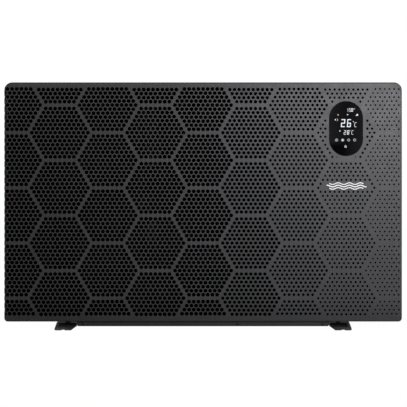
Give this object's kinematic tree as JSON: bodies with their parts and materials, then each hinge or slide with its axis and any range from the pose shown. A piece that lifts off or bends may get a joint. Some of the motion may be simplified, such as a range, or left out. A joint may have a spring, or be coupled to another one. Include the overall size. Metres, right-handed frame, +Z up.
{
  "type": "pool heat pump unit",
  "caption": "Low box-shaped outdoor pool heat pump: dark sheet-metal case, stadium display, fan, finned coil, compressor, water heat exchanger and rear water unions on splayed feet.",
  "frame": {"origin": "on the ground, under the centre of the whole footprint, water unions included", "axes": "+X to the right seen from the display side, +Y to the rear where the water unions are, +Z up"},
  "size_m": [1, 0.486, 0.6236],
  "materials": {
    "case_paint": "satin dark grey powder coat",
    "foot_paint": "satin near-black powder coat",
    "galvanised_steel": "bare galvanised sheet",
    "black_plastic": "matt black moulding",
    "display_black_glass": "gloss black window",
    "aluminium_fins": "blue-tinted fin stock",
    "copper": "bright copper tube",
    "motor_shell": "satin",
    "bright_steel": "bright plated",
    "compressor_paint": "satin black enamel",
    "rubber": "matt",
    "grey_pvc": "smooth grey PVC",
    "titanium": "satin titanium tube",
    "brass": "satin",
    "circuit_board": "green solder mask",
    "terminal_nylon": "off-white nylon",
    "clear_lens": "clear"
  },
  "bodies": {
    "cabinet": {"front_panel": "case_paint", "top_cover": "case_paint", "left_side_panel": "case_paint", "corner_post": "case_paint", "rear_panel": "case_paint", "rear_grille": "black_plastic", "fan_shroud": "black_plastic", "display_housing": "black_plastic", "cable_gland": "black_plastic", "flow_switch_body": "black_plastic", "base_pan": "galvanised_steel", "partition_panel": "galvanised_steel", "motor_bracket": "galvanised_steel", "coil_end_plate": "galvanised_steel", "electrical_box": "galvanised_steel", "foot_left": "foot_paint", "foot_right": "foot_paint", "front_rail": "foot_paint", "rail_screw_left": "bright_steel", "rail_screw_middle": "bright_steel", "rail_screw_right": "bright_steel", "pressure_gauge": "bright_steel", "fan_motor": "motor_shell", "evaporator_coil": "aluminium_fins", "gas_header": "copper", "liquid_header": "copper", "discharge_pipe": "copper", "suction_pipe": "copper", "gas_pipe": "copper", "liquid_pipe": "copper", "evaporator_pipe": "copper", "compressor": "compressor_paint", "accumulator": "compressor_paint", "compressor_grommet_rear": "rubber", "compressor_grommet_left": "rubber", "compressor_grommet_right": "rubber", "display_gasket": "rubber", "inlet_o_ring": "rubber", "outlet_o_ring": "rubber", "heat_exchanger_shell": "grey_pvc", "heat_exchanger_lid": "grey_pvc", "inlet_union_tail": "grey_pvc", "outlet_union_tail": "grey_pvc", "titanium_coil": "titanium", "reversing_valve": "brass", "expansion_valve": "brass", "main_board": "circuit_board", "terminal_block": "terminal_nylon", "display_glass": "display_black_glass", "gauge_lens": "clear_lens"},
    "fan": {"fan_impeller": "black_plastic", "fan_nut": "bright_steel", "motor_shaft": "bright_steel"},
    "inlet_nut": {"inlet_union_nut": "black_plastic"},
    "outlet_nut": {"outlet_union_nut": "black_plastic"},
    "gauge_pointer": {"gauge_needle": "rubber"},
    "flow_paddle": {"flow_switch_paddle": "brass"},
    "service_panel": {"right_side_panel": "case_paint", "side_handle": "black_plastic"},
    "terminal_hatch": {"terminal_cover": "case_paint"}
  },
  "joints": [
    {"name": "fan_spin", "type": "hinge", "parent": "cabinet", "child": "fan", "pos_m": [-0.155, -0.171, 0.322], "axis": [0, 1, 0], "continuous": true},
    {"name": "inlet_nut_turn", "type": "hinge", "parent": "cabinet", "child": "inlet_nut", "pos_m": [0.4, 0.195, 0.12], "axis": [0, 1, 0], "continuous": true},
    {"name": "outlet_nut_turn", "type": "hinge", "parent": "cabinet", "child": "outlet_nut", "pos_m": [0.4, 0.195, 0.4], "axis": [0, 1, 0], "continuous": true},
    {"name": "gauge_needle_swing", "type": "hinge", "parent": "cabinet", "child": "gauge_pointer", "pos_m": [0.3, 0.175, 0.47], "axis": [0, 1, 0], "range_deg": [-135, 135]},
    {"name": "flow_paddle_swing", "type": "hinge", "parent": "cabinet", "child": "flow_paddle", "pos_m": [0.4, 0.162, 0.161], "axis": [1, 0, 0], "range_deg": [-15, 0], "stiffness_Nm_per_rad": 0.02},
    {"name": "service_panel_off", "type": "slide", "parent": "cabinet", "child": "service_panel", "axis": [1, 0, 0], "range_m": [0, 0.25]},
    {"name": "terminal_hatch_off", "type": "slide", "parent": "service_panel", "child": "terminal_hatch", "axis": [1, 0, 0], "range_m": [0, 0.12]}
  ]
}
